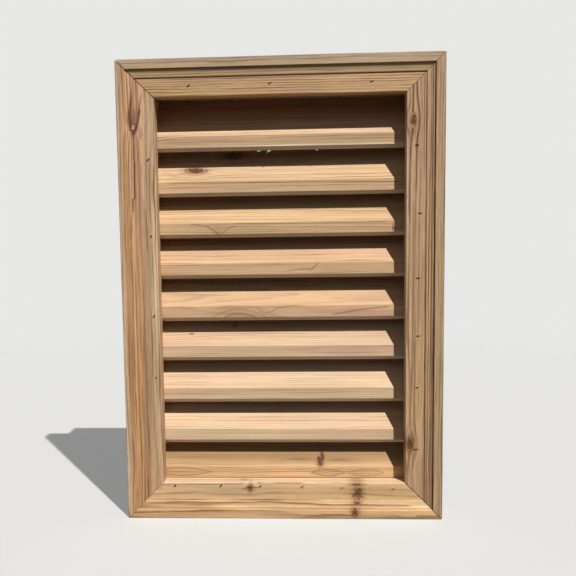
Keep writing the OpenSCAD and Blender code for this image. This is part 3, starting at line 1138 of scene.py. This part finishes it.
class BuildStaples(bpy.types.Operator):
    """Builds the staples that hold the wire cloth to the box"""

    bl_idname = "vent.build_staples"
    bl_label = "Staples"

    def execute(self, context):
        own = sizes()
        master = self.staple()
        staples = []
        wobble = random.Random(8)
        inset = 7 * MM
        left, right = CLOTH_LOW.x + inset, CLOTH_HIGH.x - inset
        low, high = CLOTH_LOW.z + inset, CLOTH_HIGH.z - inset
        places = []
        rows = round((high - low) / own.staple_gap)
        for number in range(rows + 1):
            z = low + (high - low) * number / rows
            places += [(left, z), (right, z)]
        columns = round((right - left) / own.staple_gap)
        for number in range(1, columns):
            x = left + (right - left) * number / columns
            places += [(x, low), (x, high)]
        for x, z in places:
            copy = copy_of(master)
            copy.rotation_euler = (0, math.radians(wobble.uniform(-6, 6)), 0)
            copy.location = (self.between_wires(x + wobble.uniform(-3, 3) * MM), 0,
                             z + wobble.uniform(-2, 2) * MM)
            settle(copy)
            staples.append(copy)
        bpy.data.objects.remove(master)
        piece = join(staples, "cloth_staples")
        shade_smooth(piece, 40)
        paint(piece, metal("staple_steel", colours().steel, 47, 0.38, 0.9))
        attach(piece, BODY)
        return {"FINISHED"}

    def between_wires(self, x):
        """The nearest place to x that is midway between two upright wires."""
        pitch = sizes().wire_pitch
        reach = CLOTH_HIGH.x - CLOTH_LOW.x
        margin = (reach - (int(reach / pitch) - 1) * pitch) / 2
        first = CLOTH_LOW.x + margin + pitch / 2
        return first + round((x - first) / pitch) * pitch

    def staple(self):
        """A staple with its crown upright, lying on the level wires, and its legs in the wood."""
        own = sizes()
        thick = 0.45 * MM
        leg = 8 * MM
        deselect()
        bpy.ops.mesh.primitive_cube_add(size=1.0, location=(0, CLOTH_HIGH.y - thick / 2, 0))
        crown = sized(own.staple_width, thick, own.staple_crown)
        enter_edit()
        bpy.ops.mesh.bisect(plane_co=(0, 0, own.staple_crown / 2 - thick), plane_no=(0, 0, 1))
        bpy.ops.mesh.select_all(action="SELECT")
        bpy.ops.mesh.bisect(plane_co=(0, 0, thick - own.staple_crown / 2), plane_no=(0, 0, 1))
        leave_edit()
        for side in (-1, 1):
            edit_faces(crown, lambda face: face.normal.y < -0.9
                       and side * face.center.z > own.staple_crown / 2 - thick)
            bpy.ops.mesh.extrude_region_move(TRANSFORM_OT_translate={"value": (0, -leg, 0)})
            leave_edit()
        ease(crown, 0.12 * MM, 40)
        return crown


# The floor's radius, the distances over which it fades out, in mm, and the share of its colour
# that it throws back up, which is small so that the gaps between the louvres stay dark
FLOOR_RADIUS = 3.0
FLOOR_FADE = (900, 2600)
FLOOR_BOUNCE = 0.12
# Where the sun stands, its strength and its width in degrees, and the strength of the soft sky
SUN_FROM = (0.322, -0.59, 0.770)
SUN_STRENGTH = 1.33 * math.pi
SUN_WIDTH = 0.7
SKY_STRENGTH = 0.26
# The camera's place, its turn in degrees, its lens and its shift
CAMERA_AT = (0.0384, -1.2636, 0.4010)
CAMERA_TURN = (83.217, 0.883, 3.576)
CAMERA_LENS = 56.44
CAMERA_SHIFT = (0.0625, 0.0729)


class BuildStage(bpy.types.Operator):
    """Builds the studio: the floor, the lights and the camera"""

    bl_idname = "vent.build_stage"
    bl_label = "Studio"

    def execute(self, context):
        self.floor()
        self.lights()
        self.world()
        self.camera()
        return {"FINISHED"}

    def floor(self):
        deselect()
        bpy.ops.mesh.primitive_circle_add(vertices=96, radius=FLOOR_RADIUS, fill_type="NGON",
                                          location=(0, 0, CAD_BOX[0].z - 0.1 * MM))
        floor = bpy.context.active_object
        floor.name = "studio_floor"
        settle(floor)
        material, shader, point = new_material("studio_floor")
        away = point.vector("LENGTH", point, output=1)
        edge = away.ramp(*FLOOR_FADE, 0.3, 1.0)
        tree = point.tree
        shown = colours().floor
        dim = tuple(part * FLOOR_BOUNCE for part in shown)
        plug(shader, Base_Color=seen_itself(tree).mix(dim, shown), Roughness=0.9,
             Specular_IOR_Level=0.1)
        clear = point.node("ShaderNodeBsdfTransparent", {}, {})
        surface = Value(tree, shader.outputs["BSDF"])
        mixed = edge.node("ShaderNodeMixShader", {}, {0: edge, 1: surface, 2: clear})
        tree.links.new(mixed.socket, tree.nodes["Material Output"].inputs["Surface"])
        paint(floor, material)

    def lights(self):
        key_from = Vector(SUN_FROM)
        bpy.ops.object.light_add(type="SUN", location=key_from * 3)
        key = bpy.context.active_object
        key.name = "key_light"
        key.data.energy = SUN_STRENGTH
        key.data.angle = math.radians(SUN_WIDTH)
        key.data.color = (1.0, 0.985, 0.96)
        key.rotation_euler = key_from.to_track_quat("Z", "Y").to_euler()

    def world(self):
        """A pale background, and a low soft light from the sky in front."""
        world = bpy.data.worlds.new("studio")
        bpy.context.scene.world = world
        world.use_nodes = True
        tree = world.node_tree
        tree.nodes.clear()
        seen = seen_itself(tree)
        toward = seen.node("ShaderNodeTexCoord", {}, {}, "Generated")
        front = toward.dot((0, -1, 0)).ramp(0.1, 0.8)
        above = toward.dot((0, 0, 1)).ramp(0.0, 0.35)
        level = front * above * SKY_STRENGTH + 0.01
        soft = seen.node("ShaderNodeBackground", {}, {"Color": (0.85, 0.93, 1.0, 1),
                                                      "Strength": level})
        pale = seen.node("ShaderNodeBackground", {}, {"Color": (*colours().backdrop, 1),
                                                      "Strength": 1.0})
        mixed = seen.node("ShaderNodeMixShader", {}, {0: seen, 1: soft, 2: pale})
        output = tree.nodes.new("ShaderNodeOutputWorld")
        tree.links.new(mixed.socket, output.inputs["Surface"])

    def camera(self):
        bpy.ops.object.camera_add(location=CAMERA_AT,
                                  rotation=[math.radians(angle) for angle in CAMERA_TURN])
        camera = bpy.context.active_object
        camera.name = "camera"
        camera.data.lens = CAMERA_LENS
        camera.data.sensor_width = 36
        camera.data.shift_x, camera.data.shift_y = CAMERA_SHIFT
        camera.data.clip_start = 0.01
        camera.data.clip_end = 50
        bpy.context.scene.camera = camera


OPERATORS = (BuildMould, BuildBox, BuildLouvres, BuildNails, BuildWireCloth, BuildStaples,
             BuildStage)


class VentPanel(bpy.types.Panel):
    """Lists the vent's operators, sizes and colours"""

    bl_idname = "VIEW3D_PT_gable_vent"
    bl_label = "Gable Vent"
    bl_space_type = "VIEW_3D"
    bl_region_type = "UI"
    bl_category = "Gable Vent"

    def draw(self, context):
        for operator in OPERATORS:
            self.layout.operator(operator.bl_idname)
        for group in (context.scene.vent_sizes, context.scene.vent_colours):
            box = self.layout.box()
            for name in group.__annotations__:
                box.prop(group, name)


CLASSES = (VentSizes, VentColours, *OPERATORS, VentPanel)


def register():
    for item in CLASSES:
        bpy.utils.register_class(item)
    bpy.types.Scene.vent_sizes = PointerProperty(type=VentSizes)
    bpy.types.Scene.vent_colours = PointerProperty(type=VentColours)


def unregister():
    del bpy.types.Scene.vent_colours
    del bpy.types.Scene.vent_sizes
    for item in reversed(CLASSES):
        bpy.utils.unregister_class(item)


def main():
    register()
    bpy.context.scene.view_settings.view_transform = "Standard"
    for operator in OPERATORS:
        group, name = operator.bl_idname.split(".")
        getattr(getattr(bpy.ops, group), name)()


if __name__ == "__main__":
    main()
